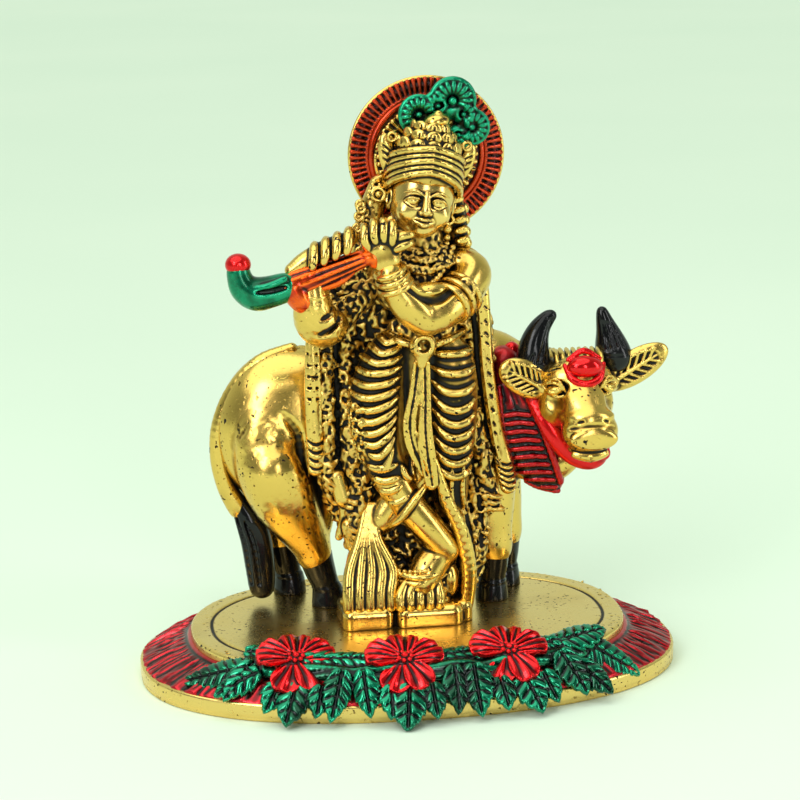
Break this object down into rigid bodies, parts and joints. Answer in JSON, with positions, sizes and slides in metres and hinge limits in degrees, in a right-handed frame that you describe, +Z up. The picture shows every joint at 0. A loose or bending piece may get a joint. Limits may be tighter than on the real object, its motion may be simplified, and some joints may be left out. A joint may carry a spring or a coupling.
{
  "type": "hindu deity statue",
  "caption": "Cast metal figurine of a standing flute player in a crown and halo beside a cow, on an oval base with a painted flower garland.",
  "frame": {"origin": "centre of the flat underside of the oval base, on the surface that it stands on", "axes": "+Z up, -Y towards the front of the figure, +X to the viewer's right, towards the cow's head"},
  "size_m": [0.12, 0.0792, 0.1306],
  "materials": {
    "antique_gold": "polished antique gold with a dark patina left in the hollows",
    "dark_gold": "stippled antique gold, mostly patina",
    "red_enamel": "translucent glossy red enamel over metal",
    "orange_enamel": "translucent glossy orange enamel over metal",
    "green_enamel": "translucent glossy green enamel over metal",
    "black_enamel": "glossy black enamel",
    "screw_brass": "turned brass",
    "felt": "dark felt, matte"
  },
  "bodies": {
    "root": {"base_plinth": "antique_gold", "base_pad": "felt", "figure_screw": "screw_brass", "cow_screws": "screw_brass", "flower_left": "red_enamel", "flower_middle": "red_enamel", "flower_right": "red_enamel", "leaf_1": "green_enamel", "leaf_2": "green_enamel", "leaf_3": "green_enamel", "leaf_4": "green_enamel", "leaf_5": "green_enamel", "leaf_6": "green_enamel", "leaf_7": "green_enamel", "leaf_8": "green_enamel", "leaf_9": "green_enamel", "leaf_10": "green_enamel", "foot_block": "antique_gold", "left_leg": "antique_gold", "right_leg": "antique_gold", "anklet": "antique_gold", "dhoti": "dark_gold", "sash": "antique_gold", "belt": "antique_gold", "torso": "antique_gold", "left_arm": "antique_gold", "right_arm": "antique_gold", "left_hand": "antique_gold", "right_hand": "antique_gold", "bangles": "antique_gold", "armlet": "antique_gold", "shawl_back": "dark_gold", "shawl_left": "antique_gold", "shawl_right": "antique_gold", "necklace": "antique_gold", "head": "antique_gold", "hair_left": "dark_gold", "hair_right": "dark_gold", "crown": "antique_gold", "crown_finial": "antique_gold", "crest": "green_enamel", "halo_disc": "orange_enamel", "halo_ring": "orange_enamel", "flute_body": "orange_enamel", "flute_neck": "green_enamel", "flute_bead": "red_enamel", "cow_body": "antique_gold", "cow_head": "antique_gold", "cow_horn_left": "black_enamel", "cow_horn_right": "black_enamel", "cow_ear_left": "antique_gold", "cow_ear_right": "antique_gold", "cow_tail": "antique_gold", "cow_tail_tuft": "black_enamel", "cow_fore_legs": "antique_gold", "cow_hind_legs": "antique_gold", "cow_hooves": "black_enamel", "cow_neck_cloth": "red_enamel", "cow_jewels": "red_enamel"}
  },
  "joints": []
}
